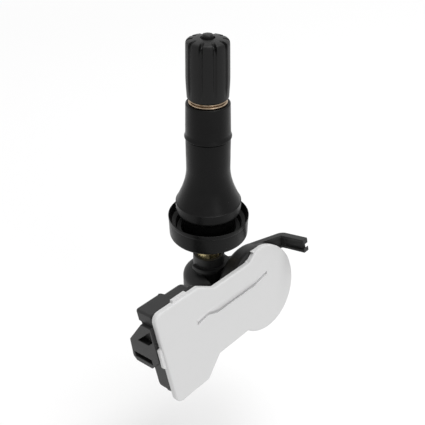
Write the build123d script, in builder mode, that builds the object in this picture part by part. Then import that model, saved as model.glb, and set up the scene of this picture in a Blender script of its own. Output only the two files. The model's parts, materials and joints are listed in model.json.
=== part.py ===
# Tyre pressure sensor on a snap-in rubber valve.
# Millimetres. +Z runs up the valve towards the cap, and the origin is on the valve's axis
# in the plane of the flange lip, where the wheel rim seats. +X runs along the sensor
# housing towards its coin cell, and the white lid faces -Y, leaning back a little.
import os
from math import cos, radians, sin

from build123d import *

os.makedirs("parts", exist_ok=True)

# Rubber valve body
flange_r = 10.0
flange_draft = 0.15
flange_height = 5.7
flange_edge_round = 0.8
lip_flat = 0.6
lip_width = 1.5
lip_slope = 0.9
lip_round = 0.15
cup_depth = 3.0
neck_r = 6.7
neck_top_z = 0.6
bulb_r = 8.0
bulb_z = 4.1
bulb_under = 0.7
bulb_round = 1.1
flare_top_z = 12.6
flare_pull = 3.4
shank_r = 5.24
shank_top_r = 5.04
bead_r = 5.5
bead_z = 21.7
bead_half = 1.1
rubber_top_z = 29.8
rubber_top_round = 0.35
level_tolerance = 0.01

# Brass stem
stem_core_r = 3.4
anchor_r = 4.9
anchor_height = 2.0
anchor_z = -4.6
tail_r = 3.2
tail_length = 12.3
band_r = 4.4
band_groove = 0.28
band_height = 1.2
band_root = 0.8
band_count = 2
thread_r = 3.85
thread_length = 11.0
thread_lead = 0.5
air_bore_r = 1.2
air_port_r = 0.9
air_port_drop = 3.2
core_bore_r = 2.4
core_seat_bore_r = 1.9
core_seat_depth = 5.0

# Valve core
core_recess = 0.8
barrel_r = 2.3
barrel_head_length = 4.0
barrel_sleeve_r = 1.7
barrel_length = 11.0
barrel_bore_r = 1.3
barrel_ledge = 0.8
gasket_length = 1.2
gasket_clearance = 0.05
pin_r = 0.5
pin_clearance = 0.08
pin_top_recess = 0.2
pin_collar_clearance = 0.1
pin_collar_length = 0.6
pin_collar_drop = 1.1
pin_tail = 1.6
seat_seal_r = 1.5
seat_seal_length = 1.1
seat_seal_gap = 0.05
spring_wire_r = 0.14
spring_turns = 7
spring_gap = 0.05

# Cap
cap_gap = 0.1
cap_r = 4.88
cap_foot_r = 4.67
cap_crown_r = 4.7
cap_skirt = 3.8
cap_roof = 1.2
cap_crown_round = 1.7
cap_thread_clearance = 0.1
cap_flutes = 10
flute_r = 0.55
flute_start = 26.5
cap_button_r = 1.35
cap_button_height = 0.35
seal_thickness = 1.0
seal_gap = 0.05
seal_clearance = 0.2

# Lid plane: leans back from the valve's axis and stands off from it
lid_lean = 14.5
lid_offset = 8.0

# Outline in the lid plane: x along the housing, y up the lid, both from the valve's axis
board_left = -28.0
board_lean = 0.3
board_top = -11.4
board_bottom = -36.6
board_corner = 2.0
toe_cut = 3.2
toe_x = -17.0
waist_x = -12.0
waist_y = -32.1
shoulder_x = -14.1
notch_left_x = -9.4
notch_right_x = 3.4
notch_rise_x = 6.7
notch_y = -14.15
crown_cut = 0.2
pit_y = -17.5
cell_x = 6.8
cell_y = -23.6
lid_corner = 0.8
tub_corner = 1.7

# Coin cell and housing walls
cell_r = 10.0
cell_thickness = 3.2
cell_cap_r = 8.6
cell_cap_height = 0.5
cell_gap = 0.25
cell_under = 0.3
cell_pad_r = 1.2
cell_pad_ring_r = 7.5
cell_pads = 3
cell_over = 0.7
wall = 0.85
floor = 1.2
back_round = 1.5
rim_step = 0.6
rim_top_step = 0.3
rim_height = 1.3

# Lid
lid_thickness = 1.4
lid_edge_round = 0.45
lid_lip_depth = 0.9
lid_lip_width = 0.8
lid_clearance = 0.1
ridge_path = [(-16.8, -19.7), (-12.9, -19.2), (-10.0, -20.1), (3.6, -20.2), (8.8, -19.4)]
ridge_foot_y = -20.4
ridge_width = 2.8
ridge_height = 0.45
ridge_root = 0.3
groove_width = 0.4
groove_depth = 0.6
lug_left_x = -22.2
lug_right_x = -17.4
lug_height = 0.7
lug_setback = 0.5
hook_x = 5.4
hook_length = 1.5
hook_drop = 0.8
hook_slope = 0.4
side_lug_top_y = -20.0
side_lug_length = 6.0
side_lug_reach = 0.6

# Collar and domed boss under the valve
collar_r = 4.1
collar_top_z = -12.0
collar_clearance = 0.05
boss_r = 6.85
boss_top_z = -17.1
boss_round = 2.8
boss_z = -20.5
boss_skirt = 3.1
boss_reach = 8.4
pocket_left_x = -3.9
pocket_y = -1.0
shelf_r = 4.9
shelf_drop = 2.8
shelf_thickness = 1.2
shelf_back_y = 1.5
shelf_lip_x = 3.8
shelf_lip_y = -6.6
shelf_end_x = 8.0
shelf_end_y = -5.0
bridge_right_x = 4.6
bridge_front_y = -2.7

# Retaining screw
screw_r = 1.95
screw_clearance = 0.1
screw_grip = 5.2
screw_seat = 2.4
screw_head_r = 2.9
screw_head_height = 2.1
screw_head_clearance = 0.25
screw_drive_r = 1.3
screw_drive_depth = 1.3

# Left support foot and the block above it, placed from the board end's top corner
block_overhang = 0.1
block_length = 7.6
block_slope = 1.0
block_height = 2.9
block_depth = 7.0
block_round = 0.9
foot_gap = 0.25
foot_overhang = 0.9
foot_length = 5.6
foot_drop = 6.4
foot_sole_drop = 12.7
foot_root = 5.0
foot_knee_depth = 11.5
foot_depth = 12.1
foot_heel = 1.1
foot_toe_depth = 5.1
foot_toe_rise = 3.4
foot_corner = 0.5
foot_recess = 1.5
recess_top = 1.1
recess_low = 5.4
recess_front = 2.1
recess_back = 7.9
recess_tuck = 1.3
slot_height = 0.9
slot_depth = 1.9
slot_lip = 1.5
slot_front = 4.4

# Right arm, an I-section bent towards the lid's side
arm_top_y = -13.0
arm_height = 3.7
arm_width = 1.9
arm_flange = 0.7
arm_web = 0.6
arm_root_x = 9.0
arm_root_depth = 5.0
arm_bend_x = 17.9
arm_bend_depth = 1.3
arm_tip_x = 18.2
arm_reach = 6.4
arm_bend_round = 1.4
arm_web_setback = 0.8
arm_rib = 0.8

# Circuit board and what is on it
board_thickness = 0.8
board_gap = 0.4
board_above = 1.2
post_r = 1.2
chip_length = 5.0
chip_width = 4.4
chip_height = 1.4
chip_from_end = 7.4
chip_from_top = 12.6
port_r = 0.8
filter_r = 1.6
filter_thickness = 0.3
filter_recess = 0.4
filter_clearance = 0.05
port_gasket_width = 0.9
control_size = 4.0
control_height = 0.8
control_from_end = 12.6
control_from_top = 11.4
crystal_length = 3.2
crystal_width = 2.5
crystal_height = 0.7
crystal_from_end = 6.6
crystal_from_top = 8.4
capacitor_length = 1.0
capacitor_width = 0.5
capacitor_height = 0.5
capacitor_count = 6
capacitor_pitch = 1.5
capacitor_from_end = 12.2
capacitor_from_top = 15.8
coil_length = 7.2
coil_width = 2.2
coil_height = 1.9
coil_cheek = 0.8
coil_neck = 0.5
coil_winding_inset = 0.1
coil_from_toe = 1.4
coil_from_bottom = 6.2
antenna_r = 0.3
antenna_from_end = 4.0
antenna_from_shoulder = 2.0
antenna_from_top = 4.4
antenna_height = 0.65
antenna_bend = 0.35
tab_thickness = 0.2
tab_width = 3.0
tab_reach = 4.0
tab_overlap = 2.4
tab_stand_off = 0.4

# Levels along the valve, worked out from the sizes above
band_top_z = rubber_top_z + band_height
stem_tip_z = band_top_z + thread_length
flange_bottom_z = -flange_height
tail_bottom_z = flange_bottom_z - tail_length
cap_bottom_z = band_top_z + cap_gap
seal_bottom_z = stem_tip_z + seal_gap
seal_top_z = seal_bottom_z + seal_thickness
cap_ceiling_z = seal_top_z + seal_gap
cap_top_z = cap_ceiling_z + cap_roof
barrel_top_z = stem_tip_z - core_recess
barrel_bottom_z = barrel_top_z - barrel_length
ledge_z = barrel_bottom_z + barrel_ledge
pin_top_z = stem_tip_z - pin_top_recess
pin_collar_top_z = barrel_top_z - pin_collar_drop
pin_collar_bottom_z = pin_collar_top_z - pin_collar_length
pin_bottom_z = barrel_bottom_z - pin_tail
core_step_z = barrel_bottom_z + gasket_length + gasket_clearance
core_floor_z = barrel_bottom_z - core_seat_depth
screw_seat_z = tail_bottom_z - screw_seat
boss_bottom_z = boss_z - boss_skirt
shelf_z = collar_top_z - shelf_drop

# Depths behind the lid's outer face
cup_r = cell_r + cell_gap + wall + rim_step
crown_y = cell_y + cup_r - crown_cut
floor_depth = lid_thickness + cell_over + cell_thickness + cell_under
housing_depth = floor_depth + floor
board_face = lid_thickness + board_above
board_back = board_face + board_thickness

# Places along and up the lid, measured from the board end
chip_x = board_left + chip_from_end
chip_y = board_top - chip_from_top
control_x = board_left + control_from_end
control_y = board_top - control_from_top
crystal_x = board_left + crystal_from_end
crystal_y = board_top - crystal_from_top
capacitor_x = board_left + capacitor_from_end
capacitor_y = board_top - capacitor_from_top
coil_x = toe_x - coil_from_toe
coil_y = board_bottom + coil_from_bottom
antenna_left_x = board_left + antenna_from_end
antenna_right_x = shoulder_x - antenna_from_shoulder
antenna_y = board_top - antenna_from_top
block_left_x = board_left - block_overhang
block_bottom_y = board_top - block_height
foot_left_x = board_left - foot_overhang
foot_top_y = block_bottom_y - foot_gap
foot_knee_y = foot_top_y - foot_drop
foot_sole_y = foot_top_y - foot_sole_drop

LEAN_COS = cos(radians(lid_lean))
LEAN_SIN = sin(radians(lid_lean))
LID_NORMAL = Vector(0, -LEAN_COS, LEAN_SIN)
LID_UP = Vector(0, LEAN_SIN, LEAN_COS)
ALONG = Vector(1, 0, 0)


def lid_point(x, y, depth):
    """A point x along the housing, y up the lid and some depth behind the lid's face."""
    return ALONG * x + LID_UP * y + LID_NORMAL * (lid_offset - depth)


def lid_plane(depth):
    """The plane parallel to the lid at a depth behind its face, looking out of the lid."""
    return Plane(origin=lid_point(0, 0, depth), x_dir=ALONG, z_dir=LID_NORMAL)


def end_plane(x):
    """The plane across the housing at x: its own x runs up the lid, its own y out of the lid."""
    return Plane(origin=lid_point(x, 0, 0), x_dir=LID_UP, z_dir=ALONG)


def shelf_plane(y):
    """The plane square to the lid at height y: its own x runs along the housing, y into it."""
    return Plane(origin=lid_point(0, y, 0), x_dir=ALONG, z_dir=LID_UP)


def stem_outline():
    """Half section of the stem's outside, from the tail's end to the tip."""
    crest = band_height / (2 * band_count)
    Polyline(
        (0, tail_bottom_z),
        (tail_r, tail_bottom_z),
        (tail_r, anchor_z),
        (anchor_r, anchor_z),
        (anchor_r, anchor_z + anchor_height),
        (stem_core_r, anchor_z + anchor_height + anchor_r - stem_core_r),
        (stem_core_r, rubber_top_z - band_root),
        (band_r - band_groove, rubber_top_z - band_root),
        (band_r - band_groove, rubber_top_z),
        (band_r, rubber_top_z + crest / 2),
        (band_r, rubber_top_z + crest),
        (band_r - band_groove, rubber_top_z + 2 * crest),
        (band_r, rubber_top_z + 3 * crest),
        (band_r, band_top_z - crest / 2),
        (band_r - band_groove, band_top_z),
        (thread_r, band_top_z),
        (thread_r, stem_tip_z - thread_lead),
        (thread_r - thread_lead, stem_tip_z),
        (0, stem_tip_z),
        close=True,
    )


def board_edge_x(y):
    """Where the leaning outer edge of the board end is at height y."""
    return board_left + board_lean * (board_top - y) / (board_top - board_bottom)


def housing_outline(step):
    """Outline of the tub under the lid, moved in by a step, less at the top, not at the board end."""
    cut_y = board_bottom + toe_cut
    top_y = board_top - min(step, rim_top_step)
    Polygon(
        (board_edge_x(cut_y), cut_y),
        (board_edge_x(cut_y) + toe_cut, board_bottom + step),
        (toe_x - step / 2, board_bottom + step),
        (waist_x - step / 2, waist_y + step),
        (cell_x, waist_y + step),
        (cell_x, pit_y),
        (notch_left_x - step, pit_y),
        (shoulder_x - step, top_y),
        (board_left, top_y),
        align=None,
    )
    with Locations((cell_x, cell_y)):
        Circle(cup_r - step)


def cavity_outline(inset):
    """The inside of the tub: its outline below the rim moved in by inset."""
    housing_outline(rim_step)
    offset(amount=-inset, kind=Kind.INTERSECTION)


def lid_outline():
    """Outline of the lid, which bridges the pit beside the boss and leaves a shallow notch."""
    Polygon(
        (board_edge_x(board_bottom), board_bottom),
        (toe_x, board_bottom),
        (waist_x, waist_y),
        (cell_x, waist_y),
        (cell_x, notch_y),
        (notch_left_x, notch_y),
        (shoulder_x, board_top),
        (board_left, board_top),
        align=None,
    )
    with Locations((cell_x, cell_y)):
        Circle(cup_r)
    Polygon(
        (notch_left_x, notch_y),
        (notch_right_x, notch_y),
        (notch_rise_x, crown_y),
        (cell_x + cup_r, crown_y),
        (cell_x + cup_r, cell_y + cup_r),
        (notch_left_x, cell_y + cup_r),
        align=None,
        mode=Mode.SUBTRACT,
    )


def soften(sketch, corner):
    """Rounds an outline: large at the outer corners of the board end, smaller elsewhere."""
    fillet(sketch.vertices().filter_by(lambda v: v.X > board_left + board_corner), corner)
    fillet(sketch.vertices().filter_by(lambda v: v.X < board_left + board_corner), board_corner)


# Brass stem with its core bore, air passage, side port and screw hole
with BuildPart() as valve_stem:
    with BuildSketch(Plane.XZ):
        with BuildLine():
            stem_outline()
        make_face()
    revolve(axis=Axis.Z)
    with BuildSketch(Plane.XY.offset(core_step_z)):
        Circle(core_bore_r)
    extrude(amount=stem_tip_z - core_step_z, mode=Mode.SUBTRACT)
    with BuildSketch(Plane.XY.offset(core_floor_z)):
        Circle(core_seat_bore_r)
    extrude(amount=core_step_z - core_floor_z, mode=Mode.SUBTRACT)
    port_z = flange_bottom_z - air_port_drop
    with BuildSketch(Plane.XY.offset(port_z)):
        Circle(air_bore_r)
    extrude(amount=core_floor_z - port_z, mode=Mode.SUBTRACT)
    with BuildSketch(Plane.YZ):
        with Locations((0, port_z)):
            Circle(air_port_r)
    extrude(amount=tail_r, both=True, mode=Mode.SUBTRACT)
    with BuildSketch(Plane.XY.offset(tail_bottom_z)):
        Circle(screw_r)
    extrude(amount=screw_grip, mode=Mode.SUBTRACT)
valve_stem.part.label = "valve_stem"
export_step(valve_stem.part, "parts/valve_stem.step")

# Rubber body moulded round the stem
with BuildPart() as valve_body:
    with BuildSketch(Plane.XZ):
        with BuildLine():
            lip_in_r = flange_r - lip_width
            base = Polyline(
                (0, flange_bottom_z),
                (flange_r - flange_draft, flange_bottom_z),
                (flange_r, 0),
                (flange_r - lip_flat, 0),
                (lip_in_r, -lip_slope),
                (lip_in_r, -cup_depth),
                (neck_r, -cup_depth),
                (neck_r, neck_top_z),
                (bulb_r - bulb_under, bulb_z - bulb_under),
            )
            bulb = RadiusArc(base @ 1, (bulb_r, bulb_z), -bulb_round)
            flare = Bezier(
                bulb @ 1,
                (bulb_r - bulb_under, bulb_z + flare_pull / 2),
                (shank_r, flare_top_z - flare_pull),
                (shank_r, flare_top_z),
            )
            Polyline(flare @ 1, (shank_r, bead_z - bead_half))
            ThreePointArc((shank_r, bead_z - bead_half), (bead_r, bead_z), (shank_r, bead_z + bead_half))
            Polyline(
                (shank_r, bead_z + bead_half),
                (shank_top_r, rubber_top_z),
                (0, rubber_top_z),
                (0, flange_bottom_z),
            )
        make_face()
    revolve(axis=Axis.Z)
    rings = valve_body.edges().filter_by(GeomType.CIRCLE)
    lip_edges = rings.filter_by(lambda e: abs(e.center().Z) < level_tolerance)
    base_edge = rings.filter_by(lambda e: abs(e.center().Z - flange_bottom_z) < level_tolerance)
    top_edge = rings.filter_by(lambda e: abs(e.center().Z - rubber_top_z) < level_tolerance)
    fillet(lip_edges, lip_round)
    fillet(base_edge, flange_edge_round)
    fillet(top_edge, rubber_top_round)
    with BuildSketch(Plane.XZ):
        with BuildLine():
            stem_outline()
        make_face()
    revolve(axis=Axis.Z, mode=Mode.SUBTRACT)
valve_body.part.label = "valve_body"
export_step(valve_body.part, "parts/valve_body.step")

# Valve core: barrel, its gasket, the pin with its seat seal, and the spring
with BuildPart() as core_barrel:
    with BuildSketch(Plane.XZ):
        with BuildLine():
            Polyline(
                (pin_r + pin_clearance, barrel_bottom_z),
                (barrel_sleeve_r, barrel_bottom_z),
                (barrel_sleeve_r, barrel_top_z - barrel_head_length - barrel_r + barrel_sleeve_r),
                (barrel_r, barrel_top_z - barrel_head_length),
                (barrel_r, barrel_top_z),
                (barrel_bore_r, barrel_top_z),
                (barrel_bore_r, ledge_z),
                (pin_r + pin_clearance, ledge_z),
                close=True,
            )
        make_face()
    revolve(axis=Axis.Z)
core_barrel.part.label = "core_barrel"
export_step(core_barrel.part, "parts/core_barrel.step")

with BuildPart() as core_barrel_gasket:
    with BuildSketch(Plane.XY.offset(core_step_z + gasket_clearance)):
        Circle(core_bore_r - gasket_clearance)
        Circle(barrel_sleeve_r, mode=Mode.SUBTRACT)
    extrude(amount=gasket_length)
core_barrel_gasket.part.label = "core_barrel_gasket"
export_step(core_barrel_gasket.part, "parts/core_barrel_gasket.step")

with BuildPart() as core_pin:
    with BuildSketch(Plane.XY.offset(pin_bottom_z)):
        Circle(pin_r)
    extrude(amount=pin_top_z - pin_bottom_z)
    with BuildSketch(Plane.XY.offset(pin_collar_bottom_z)):
        Circle(barrel_bore_r - pin_collar_clearance)
    extrude(amount=pin_collar_length)
core_pin.part.label = "core_pin"
export_step(core_pin.part, "parts/core_pin.step")

with BuildPart() as core_seat_seal:
    with BuildSketch(Plane.XY.offset(barrel_bottom_z - seat_seal_gap)):
        Circle(seat_seal_r)
        Circle(pin_r, mode=Mode.SUBTRACT)
    extrude(amount=-seat_seal_length)
core_seat_seal.part.label = "core_seat_seal"
export_step(core_seat_seal.part, "parts/core_seat_seal.step")

spring_low_z = ledge_z + spring_gap + spring_wire_r
spring_high_z = pin_collar_bottom_z - spring_gap - spring_wire_r
spring_mean_r = (pin_r + barrel_bore_r) / 2
with BuildPart() as core_spring:
    with BuildLine():
        coil = Helix(
            pitch=(spring_high_z - spring_low_z) / spring_turns,
            height=spring_high_z - spring_low_z,
            radius=spring_mean_r,
            center=(0, 0, spring_low_z),
        )
    with BuildSketch(Plane(origin=coil @ 0, z_dir=coil % 0)):
        Circle(spring_wire_r)
    sweep()
core_spring.part.label = "core_spring"
export_step(core_spring.part, "parts/core_spring.step")

# Cap, fluted down to its plain skirt, and the sealing disc under its roof
with BuildPart() as valve_cap:
    skirt_top_z = cap_bottom_z + cap_skirt
    with BuildSketch(Plane.XZ):
        with BuildLine():
            Polyline(
                (0, cap_bottom_z),
                (cap_foot_r, cap_bottom_z),
                (cap_r, skirt_top_z),
                (cap_crown_r, cap_top_z),
                (0, cap_top_z),
                close=True,
            )
        make_face()
    revolve(axis=Axis.Z)
    fillet(valve_cap.edges().filter_by(GeomType.CIRCLE).sort_by(Axis.Z)[-1], cap_crown_round)
    with BuildSketch(Plane.XY.offset(cap_top_z)):
        Circle(cap_button_r)
    extrude(amount=cap_button_height)
    with BuildSketch(Plane.XY.offset(skirt_top_z)):
        with PolarLocations(cap_r, cap_flutes, start_angle=flute_start):
            Circle(flute_r)
    extrude(amount=cap_top_z + cap_button_height - skirt_top_z, mode=Mode.SUBTRACT)
    with BuildSketch(Plane.XY.offset(cap_bottom_z)):
        Circle(thread_r + cap_thread_clearance)
    extrude(amount=cap_ceiling_z - cap_bottom_z, mode=Mode.SUBTRACT)
valve_cap.part.label = "valve_cap"
export_step(valve_cap.part, "parts/valve_cap.step")

with BuildPart() as cap_seal:
    with BuildSketch(Plane.XY.offset(seal_bottom_z)):
        Circle(thread_r + cap_thread_clearance - seal_clearance)
    extrude(amount=seal_thickness)
cap_seal.part.label = "cap_seal"
export_step(cap_seal.part, "parts/cap_seal.step")

# Domed boss and collar under the valve, with a pocket in front under a shelf that reaches the cell cup
with BuildPart() as boss:
    with BuildSketch(Plane.XZ):
        with BuildLine():
            dome_r = boss_r - boss_round
            dome_z = boss_top_z - boss_round
            Polyline((0, boss_bottom_z), (boss_r, boss_bottom_z), (boss_r, dome_z))
            CenterArc((dome_r, dome_z), boss_round, 0, 90)
            Polyline((dome_r, boss_top_z), (0, boss_top_z), (0, boss_bottom_z))
        make_face()
    revolve(axis=Axis.Z)
    with BuildSketch(Plane.XY.offset(boss_z)):
        Polygon(
            (pocket_left_x, pocket_y),
            (pocket_left_x, -boss_r),
            (boss_r, -boss_r),
            (boss_r, pocket_y),
            align=None,
        )
    extrude(amount=boss_top_z - boss_z, mode=Mode.SUBTRACT)
    with BuildSketch(Plane.XY.offset(boss_z)):
        with Locations((0, -boss_reach / 2)):
            Rectangle(2 * boss_r, boss_reach)
    extrude(amount=-boss_skirt)
    with BuildSketch(Plane.XY.offset(boss_z)):
        Polygon(
            (0, pocket_y),
            (bridge_right_x, pocket_y),
            (bridge_right_x, shelf_back_y),
            (0, shelf_back_y),
            align=None,
        )
    extrude(amount=shelf_z - boss_z)
    with BuildSketch(Plane.XY.offset(shelf_z)):
        Circle(shelf_r)
        Polygon(
            (0, -shelf_r),
            (shelf_lip_x, shelf_lip_y),
            (shelf_end_x, shelf_lip_y),
            (shelf_end_x, shelf_end_y),
            (bridge_right_x, bridge_front_y),
            (bridge_right_x, shelf_back_y),
            (0, shelf_back_y),
            align=None,
        )
        Polygon(
            (-shelf_r, shelf_back_y),
            (shelf_r, shelf_back_y),
            (shelf_r, shelf_r),
            (-shelf_r, shelf_r),
            align=None,
            mode=Mode.SUBTRACT,
        )
    extrude(amount=-shelf_thickness)
    with BuildSketch(Plane.XY.offset(boss_z)):
        Circle(collar_r)
    extrude(amount=collar_top_z - boss_z)

# Housing: tub, boss, foot and arm in one moulding
with BuildPart() as sensor_housing:
    with BuildSketch(lid_plane(lid_thickness)) as tub:
        housing_outline(rim_step)
        soften(tub, tub_corner)
    extrude(amount=-(housing_depth - lid_thickness))
    back_face = sensor_housing.faces().sort_by(Axis(origin=(0, 0, 0), direction=LID_NORMAL))[0]
    fillet(back_face.edges(), back_round)
    with BuildSketch(lid_plane(lid_thickness)) as rim:
        housing_outline(0)
        soften(rim, tub_corner)
    extrude(amount=-rim_height)
    add(boss.part)

    # block over the foot, then the foot with the recess and slot in its end
    with BuildSketch(shelf_plane(board_top)) as block:
        Polygon(
            (block_left_x, lid_thickness),
            (block_left_x, block_depth),
            (block_left_x + block_length, block_depth),
            (block_left_x + block_length + block_slope, lid_thickness),
            align=None,
        )
        fillet(block.vertices().filter_by(lambda v: v.Y > lid_thickness), block_round)
    extrude(amount=-block_height)
    with BuildSketch(end_plane(foot_left_x)) as foot:
        Polygon(
            (foot_top_y, -lid_thickness),
            (foot_top_y, -foot_root),
            (foot_knee_y, -foot_knee_depth),
            (foot_sole_y + foot_heel, -foot_depth),
            (foot_sole_y, -foot_depth + foot_heel),
            (foot_sole_y, -foot_toe_depth),
            (foot_sole_y + foot_toe_rise, -lid_thickness),
            align=None,
        )
        fillet(foot.vertices().filter_by(lambda v: v.Y < -lid_thickness), foot_corner)
    extrude(amount=foot_length)
    with BuildSketch(end_plane(foot_left_x)):
        Polygon(
            (foot_top_y - recess_top, -recess_front),
            (foot_top_y - recess_low, -recess_back),
            (foot_top_y - recess_low, -recess_back / 2),
            (foot_top_y - recess_low + recess_tuck, -recess_front),
            align=None,
        )
    extrude(amount=foot_recess, mode=Mode.SUBTRACT)
    with BuildSketch(end_plane(foot_left_x)):
        slot_low_y = foot_sole_y + slot_lip
        Polygon(
            (slot_low_y, -foot_depth + foot_heel),
            (slot_low_y + slot_height, -foot_depth + foot_heel),
            (slot_low_y + slot_height, -slot_front),
            (slot_low_y, -slot_front),
            align=None,
        )
    extrude(amount=slot_depth, mode=Mode.SUBTRACT)

    # bent arm: two flanges, the web between them and a rib at the bend
    arm_path = [
        (arm_root_x, arm_root_depth),
        (arm_bend_x, arm_bend_depth),
        (arm_tip_x, -arm_reach),
    ]
    for flange_y in (arm_top_y, arm_top_y - arm_height + arm_flange):
        with BuildSketch(shelf_plane(flange_y)):
            with BuildLine():
                FilletPolyline(*arm_path, radius=arm_bend_round)
            trace(line_width=arm_width)
        extrude(amount=-arm_flange)
    web_path = arm_path[:-1] + [(arm_tip_x, -arm_reach + arm_web_setback)]
    with BuildSketch(shelf_plane(arm_top_y)):
        with BuildLine():
            FilletPolyline(*web_path, radius=arm_bend_round)
        trace(line_width=arm_web)
    extrude(amount=-arm_height)
    with BuildSketch(shelf_plane(arm_top_y)):
        with Locations((arm_bend_x, arm_bend_depth - arm_rib)):
            Rectangle(arm_width, arm_rib)
    extrude(amount=-arm_height)

    # seat of the lid, then the cavity with its board posts and cell pads
    with BuildSketch(lid_plane(lid_thickness)):
        lid_outline()
    extrude(amount=lid_thickness, mode=Mode.SUBTRACT)
    with BuildSketch(lid_plane(lid_thickness)):
        cavity_outline(wall)
    extrude(amount=-(floor_depth - lid_thickness), mode=Mode.SUBTRACT)
    with BuildSketch(lid_plane(floor_depth)):
        post_inset = wall + board_gap + post_r
        with Locations(
            (board_left + post_inset, board_top - rim_step - post_inset),
            (board_left + toe_cut + post_inset, board_bottom + rim_step + post_inset),
            (waist_x, waist_y + rim_step + post_inset),
        ):
            Circle(post_r)
    extrude(amount=floor_depth - board_back)

    with BuildSketch(lid_plane(floor_depth)):
        with Locations((cell_x, cell_y)):
            with PolarLocations(cell_pad_ring_r, cell_pads):
                Circle(cell_pad_r)
    extrude(amount=cell_under)

    # pressure port through the back, with the filter's recess
    with BuildSketch(lid_plane(housing_depth)):
        with Locations((chip_x, chip_y)):
            Circle(port_r)
    extrude(amount=floor, mode=Mode.SUBTRACT)
    with BuildSketch(lid_plane(housing_depth)):
        with Locations((chip_x, chip_y)):
            Circle(filter_r)
    extrude(amount=filter_recess, mode=Mode.SUBTRACT)

    # bore for the stem's tail, screw hole and screw head recess
    with BuildSketch(Plane.XY.offset(tail_bottom_z)):
        Circle(tail_r + collar_clearance)
    extrude(amount=collar_top_z - tail_bottom_z, mode=Mode.SUBTRACT)
    with BuildSketch(Plane.XY.offset(screw_seat_z)):
        Circle(screw_r + screw_clearance)
    extrude(amount=screw_seat, mode=Mode.SUBTRACT)
    with BuildSketch(Plane.XY.offset(boss_bottom_z)):
        Circle(screw_head_r + screw_head_clearance)
    extrude(amount=screw_seat_z - boss_bottom_z, mode=Mode.SUBTRACT)
sensor_housing.part.label = "sensor_housing"
export_step(sensor_housing.part, "parts/sensor_housing.step")

# Retaining screw, driven into the stem's tail from below
with BuildPart() as retaining_screw:
    with BuildSketch(Plane.XY.offset(screw_seat_z)):
        Circle(screw_head_r)
    extrude(amount=-screw_head_height)
    with BuildSketch(Plane.XY.offset(screw_seat_z)):
        Circle(screw_r)
    extrude(amount=screw_seat + screw_grip - screw_clearance)
    with BuildSketch(Plane.XY.offset(screw_seat_z - screw_head_height)):
        RegularPolygon(radius=screw_drive_r, side_count=6)
    extrude(amount=screw_drive_depth, mode=Mode.SUBTRACT)
retaining_screw.part.label = "retaining_screw"
export_step(retaining_screw.part, "parts/retaining_screw.step")

# White lid with its raised ridge and the lip that locates it in the housing
with BuildPart() as cover_lid:
    with BuildSketch(lid_plane(lid_thickness)) as plate:
        lid_outline()
        soften(plate, lid_corner)
    extrude(amount=lid_thickness)
    lid_face = cover_lid.faces().sort_by(Axis(origin=(0, 0, 0), direction=LID_NORMAL))[-1]
    fillet(lid_face.edges(), lid_edge_round)
    # small lugs on the upper edge and on the board end's edge
    with BuildSketch(lid_plane(lid_thickness)):
        Polygon(
            (lug_left_x, board_top - lug_height),
            (lug_right_x, board_top - lug_height),
            (lug_right_x - lug_height / 2, board_top + lug_height),
            (lug_left_x + lug_height / 2, board_top + lug_height),
            align=None,
        )
    extrude(amount=lid_thickness - lug_setback)
    with BuildSketch(lid_plane(lid_thickness)):
        side_lug_low_y = side_lug_top_y - side_lug_length
        Polygon(
            (board_left + side_lug_reach, side_lug_top_y),
            (board_left - side_lug_reach, side_lug_top_y - side_lug_reach),
            (board_left - side_lug_reach, side_lug_low_y + side_lug_reach),
            (board_left + side_lug_reach, side_lug_low_y),
            align=None,
        )
    extrude(amount=lid_thickness - lug_setback)
    # hook where the round end begins
    with BuildSketch(lid_plane(lid_thickness)):
        Polygon(
            (hook_x, crown_y),
            (hook_x + hook_slope, crown_y - hook_drop),
            (hook_x + hook_length, crown_y - hook_drop),
            (hook_x + hook_length, crown_y),
            align=None,
        )
    extrude(amount=lid_thickness - lug_setback)
    # the ridge is a wedge, cut off along a bent path with a groove under it
    ridge_left_x = ridge_path[0][0]
    ridge_right_x = ridge_path[-1][0]
    with BuildSketch(end_plane(ridge_left_x)):
        Polygon(
            (ridge_foot_y, -ridge_root),
            (ridge_foot_y, ridge_height),
            (ridge_foot_y + ridge_width, -ridge_root),
            align=None,
        )
    extrude(amount=ridge_right_x - ridge_left_x)
    with BuildSketch(lid_plane(0)):
        Polygon(
            *ridge_path,
            (ridge_right_x, ridge_foot_y - ridge_root),
            (ridge_left_x, ridge_foot_y - ridge_root),
            align=None,
        )
    extrude(amount=ridge_height, mode=Mode.SUBTRACT)
    with BuildSketch(lid_plane(-ridge_height)):
        with BuildLine():
            Polyline(*ridge_path)
        trace(line_width=groove_width)
    extrude(amount=-(ridge_height + groove_depth), mode=Mode.SUBTRACT)
    with BuildSketch(lid_plane(lid_thickness)):
        cavity_outline(wall + lid_clearance)
    extrude(amount=-lid_lip_depth)
    with BuildSketch(lid_plane(lid_thickness)):
        cavity_outline(wall + lid_clearance + lid_lip_width)
    extrude(amount=-lid_lip_depth, mode=Mode.SUBTRACT)
cover_lid.part.label = "cover_lid"
export_step(cover_lid.part, "parts/cover_lid.step")

# Coin cell: can and smaller cap disc
with BuildPart() as coin_cell:
    can_depth = lid_thickness + cell_over + cell_cap_height
    with BuildSketch(lid_plane(can_depth)):
        with Locations((cell_x, cell_y)):
            Circle(cell_r)
    extrude(amount=-(cell_thickness - cell_cap_height))
    with BuildSketch(lid_plane(can_depth)):
        with Locations((cell_x, cell_y)):
            Circle(cell_cap_r)
    extrude(amount=cell_cap_height)
coin_cell.part.label = "coin_cell"
export_step(coin_cell.part, "parts/coin_cell.step")

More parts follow.
